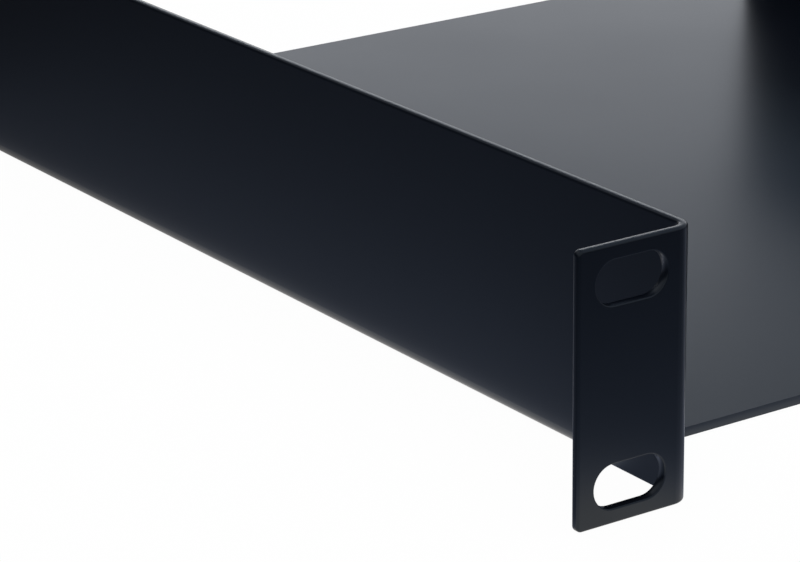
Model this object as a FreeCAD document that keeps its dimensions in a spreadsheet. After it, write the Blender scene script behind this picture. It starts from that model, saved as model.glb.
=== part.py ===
import FreeCAD, Part
import math
import os
import Sketcher
from FreeCAD import Vector

# A rack shelf folded from one sheet of steel, in millimetres: a flat plate between two side walls,
# and at the front of each wall an ear bent outwards, with two oblong slots for the rack's screws.
# X runs across the shelf, Y from the ears back to the rear edge, Z up from the plate's underside.
# The origin is at the middle of the shelf's footprint, on the surface that it stands on.

NODE = "shelf"

# Driving dimensions: name, value and what it measures.
SIZES = [
    ("overall_width", 255.9, "across both ears, with the slots 236.5 apart for a ten inch rack"),
    ("ear_width", 21.6, "from an ear's free edge to the inner face of its wall"),
    ("panel_height", 43.66, "height of ears and walls, one rack unit less its clearance"),
    ("shelf_depth", 241.8, "from the front face of the ears to the rear edge"),
    ("front_setback", 20.1, "from the front face of the ears to the plate's front edge"),
    ("sheet_thickness", 1.6, "thickness of the sheet with its coating"),
    ("ear_bend_radius", 1.7, "inside radius of the bends between walls and ears"),
    ("plate_bend_radius", 0.7, "inside radius of the bends between plate and walls"),
    ("slot_inset", 9.7, "from an ear's free edge to the centres of its slots"),
    ("slot_margin", 5.955, "from an ear's upper or lower edge to the centre of the nearer slot"),
    ("slot_length", 13.3, "length of a slot, end to end"),
    ("slot_height", 7.1, "height of a slot"),
    ("relief_width", 1.5, "width of the bend relief between the plate's front edge and a wall"),
    ("relief_rise", 0.8, "how far the bend relief reaches above the bend"),
    ("corner_radius", 0.9, "rounding of the free corners of ears and walls"),
    ("slot_rounding", 0.25, "rounding of the slots' front rims"),
    ("edge_rounding", 0.45, "rounding of the sheet's other cut edges under their coating"),
]

# Point codes of sketch geometry, and the sketch's own origin and X axis.
START, END, CENTRE = 1, 2, 3
ORIGIN = (-1, 1)
X_AXIS = -1

# Half of the clear width between the walls, and the levels of the two slots of an ear.
HALF_CLEAR = "(Sizes.overall_width / 2 - Sizes.ear_width)"
SLOT_LEVELS = {
    "upper": "Sizes.panel_height - Sizes.slot_margin",
    "lower": "Sizes.slot_margin",
}

QUARTER = math.pi / 2

# Lengths that differ by less than this are equal, and faces that meet at more than this angle form an edge.
MATCH = 1e-4
EDGE_ANGLE = math.radians(30)


def make_sheet(doc):
    """Spreadsheet with one named cell for each driving dimension."""
    sheet = doc.addObject("Spreadsheet::Sheet", "Sizes")
    for row, (name, value, meaning) in enumerate(SIZES, start=1):
        sheet.set(f"A{row}", name)
        sheet.set(f"B{row}", str(value))
        sheet.setAlias(f"B{row}", name)
        sheet.set(f"C{row}", meaning)
    doc.recompute()
    return sheet


def origin_plane(body, role):
    """The body's own origin plane with that role."""
    return next(feature for feature in body.Origin.OriginFeatures if feature.Role == role)


def new_sketch(body, name, role, offset=None):
    """Sketch on an origin plane of the body, moved along the plane's normal by an expression."""
    sketch = body.newObject("Sketcher::SketchObject", name)
    sketch.AttachmentSupport = [(origin_plane(body, role), "")]
    sketch.MapMode = "FlatFace"
    if offset:
        sketch.setExpression("AttachmentOffset.Base.z", offset)
    return sketch


def add_line(sketch, start, end):
    return sketch.addGeometry(Part.LineSegment(Vector(*start, 0), Vector(*end, 0)))


def add_arc(sketch, centre, radius, first_angle, last_angle):
    circle = Part.Circle(Vector(*centre, 0), Vector(0, 0, 1), radius)
    return sketch.addGeometry(Part.ArcOfCircle(circle, first_angle, last_angle))


def relate(sketch, kind, *where):
    """Constraint with no size of its own."""
    sketch.addConstraint(Sketcher.Constraint(kind, *where))


def drive(sketch, name, kind, where, value, size):
    """Constraint whose value follows an expression on the driving dimensions."""
    index = sketch.addConstraint(Sketcher.Constraint(kind, *where, value))
    sketch.renameConstraint(index, name)
    sketch.setExpression(f"Constraints.{name}", size)


def join_smoothly(sketch, *ends):
    """Tangent joints between consecutive pairs of geometry ends."""
    for first, second in ends:
        relate(sketch, "Tangent", *first, *second)


def join_corners(sketch, *ends):
    """Sharp corners between consecutive pairs of geometry ends."""
    for first, second in ends:
        relate(sketch, "Coincident", *first, *second)


def align(sketch, kind, lines):
    for line in lines:
        relate(sketch, kind, line)


def draw_tray_section(sketch, size):
    """Section of plate and side walls across the shelf, with a round bend at each side."""
    thick, inside = size["sheet_thickness"], size["plate_bend_radius"]
    outside = thick + inside
    half = size["overall_width"] / 2 - size["ear_width"]
    top = size["panel_height"]
    bend = half - inside
    under = add_line(sketch, (-bend, 0), (bend, 0))
    right_bend = add_arc(sketch, (bend, outside), outside, -QUARTER, 0)
    right_outer = add_line(sketch, (half + thick, outside), (half + thick, top))
    right_top = add_line(sketch, (half + thick, top), (half, top))
    right_inner = add_line(sketch, (half, top), (half, outside))
    right_hollow = add_arc(sketch, (bend, outside), inside, -QUARTER, 0)
    over = add_line(sketch, (bend, thick), (-bend, thick))
    left_hollow = add_arc(sketch, (-bend, outside), inside, 2 * QUARTER, 3 * QUARTER)
    left_inner = add_line(sketch, (-half, outside), (-half, top))
    left_top = add_line(sketch, (-half, top), (-half - thick, top))
    left_outer = add_line(sketch, (-half - thick, top), (-half - thick, outside))
    left_bend = add_arc(sketch, (-bend, outside), outside, 2 * QUARTER, 3 * QUARTER)
    join_smoothly(
        sketch,
        ((under, END), (right_bend, START)),
        ((right_bend, END), (right_outer, START)),
        ((right_inner, END), (right_hollow, END)),
        ((right_hollow, START), (over, START)),
        ((over, END), (left_hollow, END)),
        ((left_hollow, START), (left_inner, START)),
        ((left_outer, END), (left_bend, START)),
        ((left_bend, END), (under, START)),
    )
    join_corners(
        sketch,
        ((right_outer, END), (right_top, START)),
        ((right_top, END), (right_inner, START)),
        ((left_inner, END), (left_top, START)),
        ((left_top, END), (left_outer, START)),
        ((right_bend, CENTRE), (right_hollow, CENTRE)),
        ((left_bend, CENTRE), (left_hollow, CENTRE)),
    )
    align(sketch, "Horizontal", (under, over, right_top, left_top))
    align(sketch, "Vertical", (right_outer, right_inner, left_inner, left_outer))
    relate(sketch, "PointOnObject", under, START, X_AXIS)
    relate(sketch, "Equal", right_hollow, left_hollow)
    relate(sketch, "Horizontal", right_top, START, left_top, START)
    drive(sketch, "inside", "Radius", (right_hollow,), inside, "Sizes.plate_bend_radius")
    drive(sketch, "plate", "DistanceY", (under, START, over, END), thick, "Sizes.sheet_thickness")
    drive(sketch, "clear", "DistanceX", (left_inner, START, right_inner, END), 2 * half, f"2 * {HALF_CLEAR}")
    drive(sketch, "middle", "DistanceX", (*ORIGIN, right_inner, END), half, HALF_CLEAR)
    drive(sketch, "rise", "DistanceY", (under, START, left_top, START), top, "Sizes.panel_height")


def draw_ear_section(sketch, size):
    """Section of the left ear, its bend and the stretch of wall in front of the plate, seen from above."""
    thick, inside = size["sheet_thickness"], size["ear_bend_radius"]
    outside = thick + inside
    tip = -size["overall_width"] / 2
    wall = tip + size["ear_width"]
    front = -size["shelf_depth"] / 2
    plate = front + size["front_setback"]
    bend = (wall - outside, front + outside)
    ear_front = add_line(sketch, (tip, front), (bend[0], front))
    outer_bend = add_arc(sketch, bend, outside, -QUARTER, 0)
    wall_inner = add_line(sketch, (wall, bend[1]), (wall, plate))
    wall_end = add_line(sketch, (wall, plate), (wall - thick, plate))
    wall_outer = add_line(sketch, (wall - thick, plate), (wall - thick, bend[1]))
    inner_bend = add_arc(sketch, bend, inside, -QUARTER, 0)
    ear_rear = add_line(sketch, (bend[0], front + thick), (tip, front + thick))
    ear_tip = add_line(sketch, (tip, front + thick), (tip, front))
    join_smoothly(
        sketch,
        ((ear_front, END), (outer_bend, START)),
        ((outer_bend, END), (wall_inner, START)),
        ((wall_outer, END), (inner_bend, END)),
        ((inner_bend, START), (ear_rear, START)),
    )
    join_corners(
        sketch,
        ((wall_inner, END), (wall_end, START)),
        ((wall_end, END), (wall_outer, START)),
        ((ear_rear, END), (ear_tip, START)),
        ((ear_tip, END), (ear_front, START)),
        ((outer_bend, CENTRE), (inner_bend, CENTRE)),
    )
    align(sketch, "Horizontal", (ear_front, wall_end, ear_rear))
    align(sketch, "Vertical", (wall_inner, wall_outer, ear_tip))
    drive(sketch, "inside", "Radius", (inner_bend,), inside, "Sizes.ear_bend_radius")
    drive(sketch, "thick", "DistanceY", (ear_front, START, ear_rear, END), thick, "Sizes.sheet_thickness")
    drive(sketch, "reach", "DistanceX", (ear_tip, START, *ORIGIN), -tip, "Sizes.overall_width / 2")
    drive(sketch, "wall", "DistanceX", (wall_inner, END, *ORIGIN), -wall, HALF_CLEAR)
    drive(sketch, "front", "DistanceY", (ear_front, START, *ORIGIN), -front, "Sizes.shelf_depth / 2")
    drive(sketch, "setback", "DistanceY", (ear_front, END, wall_inner, END), plate - front,
          "Sizes.front_setback")


def draw_slot(sketch, size, name, level):
    """One oblong slot of the left ear, with its centre at that level."""
    radius = size["slot_height"] / 2
    straight = size["slot_length"] - size["slot_height"]
    left = size["slot_inset"] - size["overall_width"] / 2 - straight / 2
    right = left + straight
    left_end = add_arc(sketch, (left, level), radius, QUARTER, 3 * QUARTER)
    lower = add_line(sketch, (left, level - radius), (right, level - radius))
    right_end = add_arc(sketch, (right, level), radius, -QUARTER, QUARTER)
    upper = add_line(sketch, (right, level + radius), (left, level + radius))
    join_smoothly(
        sketch,
        ((left_end, END), (lower, START)),
        ((lower, END), (right_end, START)),
        ((right_end, END), (upper, START)),
        ((upper, END), (left_end, START)),
    )
    relate(sketch, "Horizontal", lower)
    relate(sketch, "Equal", left_end, right_end)
    end_centre = "Sizes.overall_width / 2 - Sizes.slot_inset + (Sizes.slot_length - Sizes.slot_height) / 2"
    drive(sketch, f"{name}_radius", "Radius", (left_end,), radius, "Sizes.slot_height / 2")
    drive(sketch, f"{name}_straight", "DistanceX", (left_end, CENTRE, right_end, CENTRE), straight,
          "Sizes.slot_length - Sizes.slot_height")
    drive(sketch, f"{name}_across", "DistanceX", (left_end, CENTRE, *ORIGIN), -left, end_centre)
    drive(sketch, f"{name}_level", "DistanceY", (*ORIGIN, left_end, CENTRE), level, SLOT_LEVELS[name])


def draw_relief(sketch, size):
    """Round-ended notch that frees the wall's front stretch from the plate's bend."""
    radius = size["relief_width"] / 2
    rear = size["front_setback"] - size["shelf_depth"] / 2
    front = rear - size["relief_width"]
    level = size["plate_bend_radius"] + size["sheet_thickness"] + size["relief_rise"] - radius
    foot = add_line(sketch, (front, 0), (rear, 0))
    rear_side = add_line(sketch, (rear, 0), (rear, level))
    crown = add_arc(sketch, (front + radius, level), radius, 0, 2 * QUARTER)
    front_side = add_line(sketch, (front, level), (front, 0))
    join_corners(sketch, ((foot, END), (rear_side, START)), ((front_side, END), (foot, START)))
    join_smoothly(sketch, ((rear_side, END), (crown, START)), ((crown, END), (front_side, START)))
    relate(sketch, "Horizontal", foot)
    align(sketch, "Vertical", (rear_side, front_side))
    relate(sketch, "PointOnObject", foot, START, X_AXIS)
    drive(sketch, "width", "DistanceX", (foot, START, foot, END), 2 * radius, "Sizes.relief_width")
    drive(sketch, "place", "DistanceX", (foot, END, *ORIGIN), -rear,
          "Sizes.shelf_depth / 2 - Sizes.front_setback")
    drive(sketch, "level", "DistanceY", (*ORIGIN, crown, CENTRE), level,
          "Sizes.plate_bend_radius + Sizes.sheet_thickness + Sizes.relief_rise - Sizes.relief_width / 2")


def add_pad(body, name, sketch, length):
    pad = body.newObject("PartDesign::Pad", name)
    pad.Profile = sketch
    pad.setExpression("Length", length)
    return pad


def add_pocket(body, name, sketch):
    """Cut from the sketch against its normal, through all that lies that way."""
    pocket = body.newObject("PartDesign::Pocket", name)
    pocket.Profile = sketch
    pocket.Type = "ThroughAll"
    return pocket


def add_mirror(body, name, originals):
    mirror = body.newObject("PartDesign::Mirrored", name)
    mirror.Originals = originals
    mirror.MirrorPlane = (origin_plane(body, "YZ_Plane"), [""])
    body.Tip = mirror
    return mirror


def add_fillet(body, name, base, edges, radius):
    fillet = body.newObject("PartDesign::Fillet", name)
    fillet.Base = (base, edges)
    fillet.setExpression("Radius", radius)
    return fillet


def is_free_corner(edge, size):
    """Whether an edge runs through the sheet at a free corner of an ear or at a wall's upper rear corner."""
    if abs(edge.Length - size["sheet_thickness"]) > MATCH:
        return False
    middle = edge.CenterOfMass
    at_top = abs(middle.z - size["panel_height"]) < MATCH
    at_tip = abs(abs(middle.x) - size["overall_width"] / 2) < MATCH
    at_rear = abs(middle.y - size["shelf_depth"] / 2) < MATCH
    return (at_tip and (at_top or abs(middle.z) < MATCH)) or (at_rear and at_top)


def in_relief(edge, size):
    """Whether an edge belongs to a bend relief, which stays sharp."""
    rear = size["front_setback"] - size["shelf_depth"] / 2
    front = rear - size["relief_width"]
    top = size["plate_bend_radius"] + size["sheet_thickness"] + size["relief_rise"]
    box = edge.BoundBox
    return box.YMin > front - MATCH and box.YMax < rear + MATCH and box.ZMax < top + MATCH


def rims_slot(edge, size, depth):
    """Whether an edge rims a slot on the face that lies that deep behind the front of the ears."""
    face = depth - size["shelf_depth"] / 2
    box = edge.BoundBox
    on_face = abs(box.YMin - face) < MATCH and abs(box.YMax - face) < MATCH
    within_height = box.ZMin > MATCH and box.ZMax < size["panel_height"] - MATCH
    within_width = max(-box.XMin, box.XMax) < size["overall_width"] / 2 - MATCH
    return on_face and within_height and within_width


def is_sharp(shape, edge):
    """Whether the two faces along an edge meet at an angle there."""
    faces = shape.ancestorsOfType(edge, Part.Face)
    point = edge.valueAt((edge.FirstParameter + edge.LastParameter) / 2)
    normals = []
    for face in faces:
        u, v = face.Surface.parameter(point)
        normals.append(face.normalAt(u, v))
    return len(normals) == 2 and normals[0].getAngle(normals[1]) > EDGE_ANGLE


def edge_names(shape, wanted):
    return [f"Edge{number}" for number, edge in enumerate(shape.Edges, start=1) if wanted(edge)]


def build_shelf(doc, size):
    """The folded sheet: tray, left ear with its cuts, the same on the right, then its roundings."""
    body = doc.addObject("PartDesign::Body", "Shelf")
    body.Label = NODE

    tray_section = new_sketch(body, "TraySection", "XZ_Plane", "-Sizes.shelf_depth / 2")
    draw_tray_section(tray_section, size)
    add_pad(body, "Tray", tray_section, "Sizes.shelf_depth - Sizes.front_setback")

    ear_section = new_sketch(body, "EarSection", "XY_Plane")
    draw_ear_section(ear_section, size)
    ear = add_pad(body, "Ear", ear_section, "Sizes.panel_height")

    slot_outline = new_sketch(body, "SlotOutline", "XZ_Plane", "Sizes.shelf_depth / 2")
    draw_slot(slot_outline, size, "upper", size["panel_height"] - size["slot_margin"])
    draw_slot(slot_outline, size, "lower", size["slot_margin"])
    slots = add_pocket(body, "Slots", slot_outline)

    relief_outline = new_sketch(body, "ReliefOutline", "YZ_Plane", f"-{HALF_CLEAR}")
    draw_relief(relief_outline, size)
    relief = add_pocket(body, "Relief", relief_outline)

    both_sides = add_mirror(body, "BothSides", [ear, slots, relief])
    doc.recompute()

    corners = edge_names(both_sides.Shape, lambda edge: is_free_corner(edge, size))
    rounded = add_fillet(body, "RoundedCorners", both_sides, corners, "Sizes.corner_radius")
    doc.recompute()

    front_rims = edge_names(rounded.Shape, lambda edge: rims_slot(edge, size, 0.0))
    eased = add_fillet(body, "RoundedSlots", rounded, front_rims, "Sizes.slot_rounding")
    doc.recompute()

    # The punch leaves the slots sharp on the rear face of the ears.
    shape = eased.Shape
    cut_edges = edge_names(shape, lambda edge: is_sharp(shape, edge) and not in_relief(edge, size)
                           and not rims_slot(edge, size, size["sheet_thickness"]))
    add_fillet(body, "RoundedEdges", eased, cut_edges, "Sizes.edge_rounding")
    doc.recompute()
    return body


def check(doc, body):
    """Stops before anything is written if a feature failed or the shelf isn't one sound solid."""
    for item in doc.Objects:
        faults = {"Invalid", "Error"} & set(item.State)
        if faults:
            raise RuntimeError(f"{item.Name} failed: {item.State}")
    shape = body.Shape
    if shape.isNull() or not shape.isValid() or len(shape.Solids) != 1:
        raise RuntimeError(f"{body.Label} isn't one sound solid")


def main():
    doc = FreeCAD.newDocument("RackShelf")
    sheet = make_sheet(doc)
    size = {name: sheet.get(name) for name, _, _ in SIZES}
    body = build_shelf(doc, size)
    check(doc, body)
    os.makedirs("parts", exist_ok=True)
    body.Shape.exportStep(f"parts/{body.Label}.step")
    box = body.Shape.BoundBox
    print(f"{body.Label}: {box.XLength:.2f} x {box.YLength:.2f} x {box.ZLength:.2f} mm,"
          f" {body.Shape.Volume:.0f} mm3, {len(body.Shape.Faces)} faces")


main()
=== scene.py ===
import math

import bpy
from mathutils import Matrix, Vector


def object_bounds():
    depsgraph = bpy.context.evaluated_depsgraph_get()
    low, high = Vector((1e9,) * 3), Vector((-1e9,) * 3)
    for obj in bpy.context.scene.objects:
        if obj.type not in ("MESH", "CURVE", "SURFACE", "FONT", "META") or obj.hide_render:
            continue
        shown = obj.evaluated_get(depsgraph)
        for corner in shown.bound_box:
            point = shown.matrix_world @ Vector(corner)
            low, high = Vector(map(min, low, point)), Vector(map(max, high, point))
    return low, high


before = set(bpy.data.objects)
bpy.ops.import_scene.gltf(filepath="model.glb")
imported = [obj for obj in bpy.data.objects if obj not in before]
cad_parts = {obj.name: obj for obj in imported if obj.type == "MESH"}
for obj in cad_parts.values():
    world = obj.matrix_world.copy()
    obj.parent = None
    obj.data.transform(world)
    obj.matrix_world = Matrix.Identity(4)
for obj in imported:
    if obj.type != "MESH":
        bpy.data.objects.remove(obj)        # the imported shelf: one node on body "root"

# Looks of a rack shelf folded from one sheet of steel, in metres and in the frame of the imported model:
# X across the shelf, Y from the ears back to the rear edge, Z up from the surface that it stands on.

CAD_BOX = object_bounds()

# Camera of the photograph: an 800 x 562 picture, taken past the left ear from a low angle.
CAMERA_PLACE = (-0.404561, -0.482115, 0.201062)
CAMERA_TURN_DEGREES = (70.4444, 0.6978, -34.4804)
CAMERA_LENS_MM = 152.336
SENSOR_WIDTH_MM = 36.0
CLIP_START = 0.01

# The shelf: half sizes, thickness of the sheet, middle radius of the ear bends, reach of the ears beyond the
# walls, outer face of the walls, and how far behind the ears the plate starts.
HALF_WIDTH = CAD_BOX[1].x
HALF_DEPTH = CAD_BOX[1].y
SHEET = 0.0016
BEND = 0.0025
EAR_OVERHANG = 0.0200
WALL_FACE = HALF_WIDTH - EAR_OVERHANG
PLATE_SETBACK = 0.0201

# Powder coat: nearly black and slightly blue, with a satin gloss that changes faintly in wide clouds, a fine
# orange peel and a finer grain.
COAT_DARK = (0.0006, 0.0011, 0.0030, 1.0)
COAT_LIGHT = (0.0009, 0.0016, 0.0042, 1.0)
COAT_IOR = 1.5
COAT_TINT = (0.70, 0.84, 1.0, 1.0)
COAT_ROUGHNESS = (0.27, 0.31)
CLOUD_SIZE = 0.07
CLOUD_DETAIL = 4.0
CLOUD_RANGE = (0.3, 0.7)
PEEL_SIZE = 0.0016
PEEL_DETAIL = 2.0
PEEL_HEIGHT = 0.000004
GRAIN_SIZE = 0.00035
GRAIN_DETAIL = 1.0
GRAIN_HEIGHT = 0.0000015

# On cut edges the coat swells along the sheet's middle. Its height in metres falls off by EDGE_SWELL times
# the squared distance from there, and is used as it is.
EDGE_SWELL = 260.0
SWELL_SCALE = 1.0

# Table: pale paint that takes the shelf's shadow. To the eye a large share of it is plain white.
FLOOR_SPAN = 40.0
FLOOR_COLOUR = (0.88, 0.88, 0.88, 1.0)
WHITE = (1.0, 1.0, 1.0, 1.0)
WHITE_SHARE = 0.975

# The table as the coat mirrors it, a painted glow that only reflections see: a bright rim and a wide dim
# glow along the foot of the tray, and the same in front of the ears, each as level, reach and steepness. The
# tint goes from near to far as the glow dims.
TRAY_GLOW = [(0.80, 0.0031, 6.0), (0.288, 0.042, 1.3)]
EAR_GLOW = [(0.77, 0.018, 3.6), (0.248, 0.105, 2.6)]
TRAY_NEAR = (1.02, 1.0, 1.02)
EAR_NEAR = (1.07, 1.0, 0.94)
GLOW_FAR = (0.83, 1.0, 1.42)

# The ears' painted glow comes from a strip along the outer side of each ear, and behind the ears a distance
# counts several times. The tray's foot lies a little inside the ends of the shelf.
EAR_GLOW_WIDTH = 0.009
BEHIND_EARS = 8.0
FOOT_INSET = 0.0008

# Beside the walls the tray's painted glow fades from front to rear, along slanting lines.
FADE_SLANT = 1.45
FADE_RANGE = (-0.071, 0.125)
FADE_LEVELS = (1.14, 0.44)

# Room: dim low down, with a pale ceiling that comes lower at the front and a window high up on the right.
DIM_SHADE = (0.036, 0.045, 0.060, 1.0)
CEILING_SHADE = (0.44, 0.44, 0.45, 1.0)
CEILING_TILT = (0.0, -0.3, 1.0)
CEILING_EDGES = (0.08, 0.30)
WINDOW_SHADE = (0.46, 0.50, 0.56, 1.0)
WINDOW_SIDE = (0.75, -0.20, 0.63)
WINDOW_EDGES = (0.55, 0.9)

# Bright wall behind the shelf, with its shade by the sine of the height above the horizon.
BRIGHT_SIDE = (0.568, 0.823, 0.0)
BRIGHT_EDGES = (0.8, 0.98)
BRIGHT_LEVEL = 2.63
BRIGHT_SHADES = [
    (0.0, (0.15, 0.15, 0.155, 1.0)),
    (0.12, (0.57, 0.575, 0.595, 1.0)),
    (0.18, (0.99, 1.0, 1.035, 1.0)),
    (0.222, (0.99, 1.0, 1.035, 1.0)),
    (0.26, (0.060, 0.076, 0.096, 1.0)),
    (0.45, (0.055, 0.073, 0.095, 1.0)),
    (0.7, (0.024, 0.028, 0.035, 1.0)),
]

# Softbox above the shelf.
LAMP_PLACE = (0.0, 0.0, 1.8)
LAMP_SPAN = 2.4
LAMP_POWER = 30.0


class Nodes:
    """Short hand for building one node tree."""

    def __init__(self, tree):
        self.tree = tree
        tree.nodes.clear()

    def add(self, kind, inputs=None, **settings):
        """New node with settings, constant inputs and linked inputs."""
        node = self.tree.nodes.new(kind)
        for name, value in settings.items():
            setattr(node, name, value)
        for name, value in (inputs or {}).items():
            if isinstance(value, bpy.types.NodeSocket):
                self.tree.links.new(value, node.inputs[name])
            else:
                node.inputs[name].default_value = value
        return node

    def math(self, operation, *values):
        """Result of one operation on numbers."""
        return self.add("ShaderNodeMath", dict(enumerate(values)), operation=operation).outputs["Value"]

    def vector(self, operation, inputs, output="Vector"):
        """Result of one operation on vectors."""
        return self.add("ShaderNodeVectorMath", inputs, operation=operation).outputs[output]

    def split(self, vector):
        """The X, Y and Z of a vector."""
        return self.add("ShaderNodeSeparateXYZ", {"Vector": vector}).outputs

    def beyond(self, value, edge):
        """How far a value lies above an edge, or else nought."""
        return self.math("MAXIMUM", self.math("SUBTRACT", value, edge), 0.0)

    def length(self, width, depth):
        """Straight distance over a width and a depth."""
        squares = [self.math("MULTIPLY", part, part) for part in (width, depth)]
        return self.math("SQRT", self.math("ADD", *squares))

    def remap(self, value, source, target=(0.0, 1.0), interpolation="LINEAR"):
        """Value carried over from a source range to a target range, and held at its ends."""
        ends = {"From Min": source[0], "From Max": source[1], "To Min": target[0], "To Max": target[1]}
        node = self.add("ShaderNodeMapRange", {"Value": value, **ends}, interpolation_type=interpolation)
        return node.outputs["Result"]

    def noise(self, place, size, detail):
        """Soft random pattern from 0 to 1, with spots of about the given size."""
        node = self.add("ShaderNodeTexNoise", {"Vector": place, "Scale": 1 / size, "Detail": detail})
        return node.outputs["Fac"]

    def bump(self, height, scale, normal=None):
        """Normal bent by a height times a scale, on top of another bent normal if there is one."""
        inputs = {"Height": height, "Distance": scale}
        if normal:
            inputs["Normal"] = normal
        return self.add("ShaderNodeBump", inputs).outputs["Normal"]

    def blend(self, factor, first, second):
        """Mix of two shaders: the first where the factor is 0, the second where it is 1."""
        return self.add("ShaderNodeMixShader", {0: factor, 1: first, 2: second}).outputs["Shader"]

    def ramp(self, factor, stops):
        """Colour ramp through (position, colour) stops."""
        node = self.add("ShaderNodeValToRGB", {"Fac": factor})
        elements = node.color_ramp.elements
        while len(elements) < len(stops):
            elements.new(1.0)
        for element, (position, colour) in zip(elements, stops):
            element.position = position
            element.color = colour
        return node.outputs["Color"]


def new_material(name):
    """Empty material and its nodes."""
    material = bpy.data.materials.new(name)
    material.use_nodes = True
    return material, Nodes(material.node_tree)


def edge_swell(nodes, place):
    """Height of the coat on the cut edges of walls and ears, by the distance from the sheet's middle."""
    place = nodes.split(place)
    across = nodes.math("ABSOLUTE", place["X"])
    inside_bend = nodes.beyond(WALL_FACE - SHEET / 2 + BEND, across)
    before_bend = nodes.beyond(SHEET / 2 + BEND - HALF_DEPTH, place["Y"])
    off_middle = nodes.math("SUBTRACT", nodes.length(inside_bend, before_bend), BEND)
    off_middle = nodes.math("MINIMUM", nodes.math("ABSOLUTE", off_middle), SHEET / 2)
    return nodes.math("MULTIPLY", nodes.math("MULTIPLY", off_middle, off_middle), -EDGE_SWELL)


def powder_coat():
    """Satin black powder coat with a fine orange peel, faint changes of gloss and swollen cut edges."""
    material, nodes = new_material("black_powder_coat_finish")
    place = nodes.add("ShaderNodeTexCoord").outputs["Object"]
    cloud = nodes.noise(place, CLOUD_SIZE, CLOUD_DETAIL)
    peel = nodes.noise(place, PEEL_SIZE, PEEL_DETAIL)
    grain = nodes.noise(place, GRAIN_SIZE, GRAIN_DETAIL)
    normal = nodes.bump(edge_swell(nodes, place), SWELL_SCALE)
    normal = nodes.bump(peel, PEEL_HEIGHT, normal)
    normal = nodes.bump(grain, GRAIN_HEIGHT, normal)
    shader = nodes.add("ShaderNodeBsdfPrincipled", {
        "Base Color": nodes.ramp(cloud, list(zip(CLOUD_RANGE, (COAT_DARK, COAT_LIGHT)))),
        "Roughness": nodes.remap(cloud, CLOUD_RANGE, COAT_ROUGHNESS),
        "Normal": normal,
        "IOR": COAT_IOR,
        "Specular Tint": COAT_TINT,
    })
    nodes.add("ShaderNodeOutputMaterial", {"Surface": shader.outputs["BSDF"]})
    return material


def tray_distance(nodes, place):
    """How far a point of the floor lies from the foot of the tray."""
    beside = nodes.beyond(nodes.math("ABSOLUTE", place["X"]), WALL_FACE)
    along = nodes.math("ABSOLUTE", nodes.math("SUBTRACT", place["Y"], PLATE_SETBACK / 2))
    return nodes.length(beside, nodes.beyond(along, HALF_DEPTH - PLATE_SETBACK / 2 - FOOT_INSET))


def ear_distance(nodes, place):
    """How far a point of the floor lies from the foot of the nearer ear."""
    across = nodes.math("ABSOLUTE", place["X"])
    inside = nodes.beyond(HALF_WIDTH - EAR_GLOW_WIDTH, across)
    beside = nodes.math("MAXIMUM", nodes.beyond(across, HALF_WIDTH), inside)
    behind = nodes.math("ADD", place["Y"], HALF_DEPTH)
    before = nodes.math("MULTIPLY", behind, -1.0)
    return nodes.length(beside, nodes.math("MAXIMUM", nodes.math("MULTIPLY", behind, BEHIND_EARS), before))


def fade_to_rear(nodes, place):
    """Share of the tray's painted glow that is left towards the rear."""
    beside = nodes.beyond(nodes.math("ABSOLUTE", place["X"]), WALL_FACE)
    slant = nodes.math("SUBTRACT", place["Y"], nodes.math("MULTIPLY", beside, FADE_SLANT))
    return nodes.remap(slant, FADE_RANGE, FADE_LEVELS)


def falloff(nodes, distance, level, reach, steepness):
    """A level that is full at no distance and has dropped to half at the reach."""
    spread = nodes.math("POWER", nodes.math("DIVIDE", distance, reach), steepness)
    return nodes.math("DIVIDE", level, nodes.math("ADD", spread, 1.0))


def painted_glow(nodes, distance, parts, near_tint):
    """Painted glow: colour of the mirrored table by its distance from a foot, seen only in reflections."""
    level = nodes.math("ADD", *[falloff(nodes, distance, *part) for part in parts])
    change = [near - far for near, far in zip(near_tint, GLOW_FAR)]
    tint = nodes.vector("MULTIPLY_ADD", {0: level, 1: change, 2: GLOW_FAR})
    return nodes.vector("SCALE", {0: tint, "Scale": level})


def floor_white_with_painted_glow():
    """Pale table, white to the eye with the shelf's shadow; mirrored, a painted glow dims away from the
    shelf.
    """
    material, nodes = new_material("floor_white_with_painted_glow")
    place = nodes.split(nodes.add("ShaderNodeNewGeometry").outputs["Position"])
    by_tray = painted_glow(nodes, tray_distance(nodes, place), TRAY_GLOW, TRAY_NEAR)
    by_tray = nodes.vector("SCALE", {0: by_tray, "Scale": fade_to_rear(nodes, place)})
    by_ear = painted_glow(nodes, ear_distance(nodes, place), EAR_GLOW, EAR_NEAR)
    brightest = nodes.vector("MAXIMUM", {0: by_tray, 1: by_ear})

    path = nodes.add("ShaderNodeLightPath").outputs
    seen = nodes.math("MAXIMUM", path["Is Camera Ray"], path["Is Transmission Ray"])
    # Painted glow: light the table gives only to reflections, brightest at the shelf's foot.
    painted_reflection_glow = nodes.add("ShaderNodeEmission", {"Color": brightest}).outputs["Emission"]
    white = nodes.add("ShaderNodeEmission", {"Color": WHITE, "Strength": 1.0}).outputs["Emission"]
    paint = nodes.add("ShaderNodeBsdfDiffuse", {"Color": FLOOR_COLOUR}).outputs["BSDF"]
    share = nodes.math("MULTIPLY", nodes.math("MAXIMUM", seen, path["Is Glossy Ray"]), WHITE_SHARE)
    surface = nodes.blend(share, paint, nodes.blend(seen, painted_reflection_glow, white))
    nodes.add("ShaderNodeOutputMaterial", {"Surface": surface})
    return material


def add_floor():
    """Wide table top under the shelf, which isn't part of it."""
    half = FLOOR_SPAN / 2
    level = CAD_BOX[0].z
    corners = [(-half, -half, level), (half, -half, level), (half, half, level), (-half, half, level)]
    mesh = bpy.data.meshes.new("floor")
    mesh.from_pydata(corners, [], [(0, 1, 2, 3)])
    mesh.materials.append(floor_white_with_painted_glow())
    floor = bpy.data.objects.new("floor", mesh)
    bpy.context.scene.collection.objects.link(floor)


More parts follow.
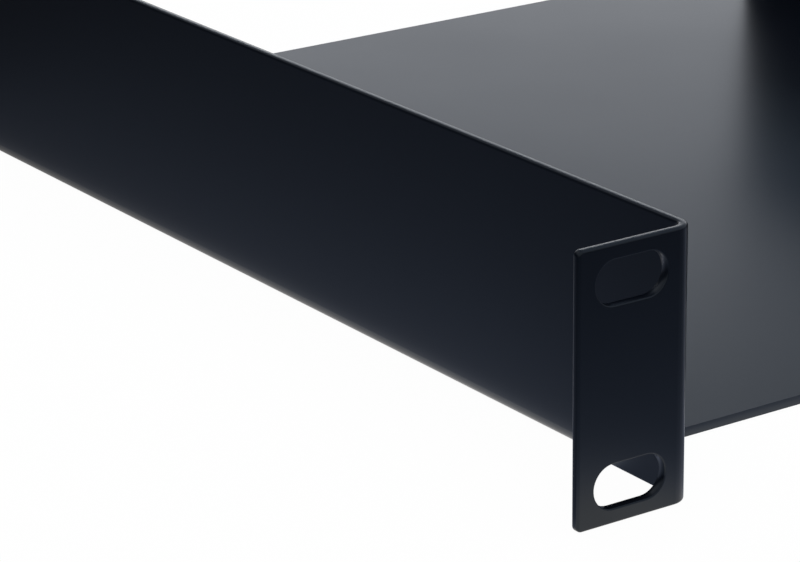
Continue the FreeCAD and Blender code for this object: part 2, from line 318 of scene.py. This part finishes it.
def add_room():
    """Surroundings: a dim room with a pale ceiling, a window and a bright wall low down behind the shelf."""
    world = bpy.data.worlds.new("room")
    world.use_nodes = True
    nodes = Nodes(world.node_tree)
    direction = nodes.add("ShaderNodeTexCoord").outputs["Generated"]
    height = nodes.split(direction)["Z"]
    level_part = nodes.vector("MULTIPLY", {0: direction, 1: (1.0, 1.0, 0.0)})
    heading = nodes.vector("NORMALIZE", {0: level_part})

    def light(colour, level=1.0):
        """Plain light of a colour."""
        return nodes.add("ShaderNodeBackground", {"Color": colour, "Strength": level}).outputs["Background"]

    def nearness(vector, side, edges):
        """Nought away from a side of the room, rising smoothly to one towards it."""
        towards = nodes.vector("DOT_PRODUCT", {0: vector, 1: side}, output="Value")
        return nodes.remap(towards, edges, interpolation="SMOOTHSTEP")

    ceiling = nearness(direction, CEILING_TILT, CEILING_EDGES)
    window = nearness(direction, WINDOW_SIDE, WINDOW_EDGES)
    bright_wall = nearness(heading, BRIGHT_SIDE, BRIGHT_EDGES)
    room = nodes.blend(ceiling, light(DIM_SHADE), light(CEILING_SHADE))
    room = nodes.blend(window, room, light(WINDOW_SHADE))
    room = nodes.blend(bright_wall, room, light(nodes.ramp(height, BRIGHT_SHADES), BRIGHT_LEVEL))
    nodes.add("ShaderNodeOutputWorld", {"Surface": room})
    bpy.context.scene.world = world


def add_softbox():
    """Square soft light that points at the middle of the shelf."""
    light = bpy.data.lights.new("overhead", "AREA")
    light.shape = "SQUARE"
    light.size = LAMP_SPAN
    light.energy = LAMP_POWER
    lamp = bpy.data.objects.new("overhead", light)
    lamp.location = LAMP_PLACE
    aim = (CAD_BOX[0] + CAD_BOX[1]) / 2 - lamp.location
    lamp.rotation_euler = aim.to_track_quat("-Z", "Y").to_euler()
    lamp.visible_camera = False
    lamp.visible_glossy = False
    bpy.context.scene.collection.objects.link(lamp)


def add_camera():
    """Camera at the photograph's viewing angle."""
    data = bpy.data.cameras.new("camera")
    data.sensor_fit = "HORIZONTAL"
    data.sensor_width = SENSOR_WIDTH_MM
    data.lens = CAMERA_LENS_MM
    data.clip_start = CLIP_START
    camera = bpy.data.objects.new("camera", data)
    camera.location = CAMERA_PLACE
    camera.rotation_euler = [math.radians(angle) for angle in CAMERA_TURN_DEGREES]
    bpy.context.scene.collection.objects.link(camera)
    bpy.context.scene.camera = camera


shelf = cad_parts["shelf"]
shelf.data.materials[0] = powder_coat()
add_floor()
add_room()
add_softbox()
add_camera()
bpy.context.scene.view_settings.view_transform = "Standard"
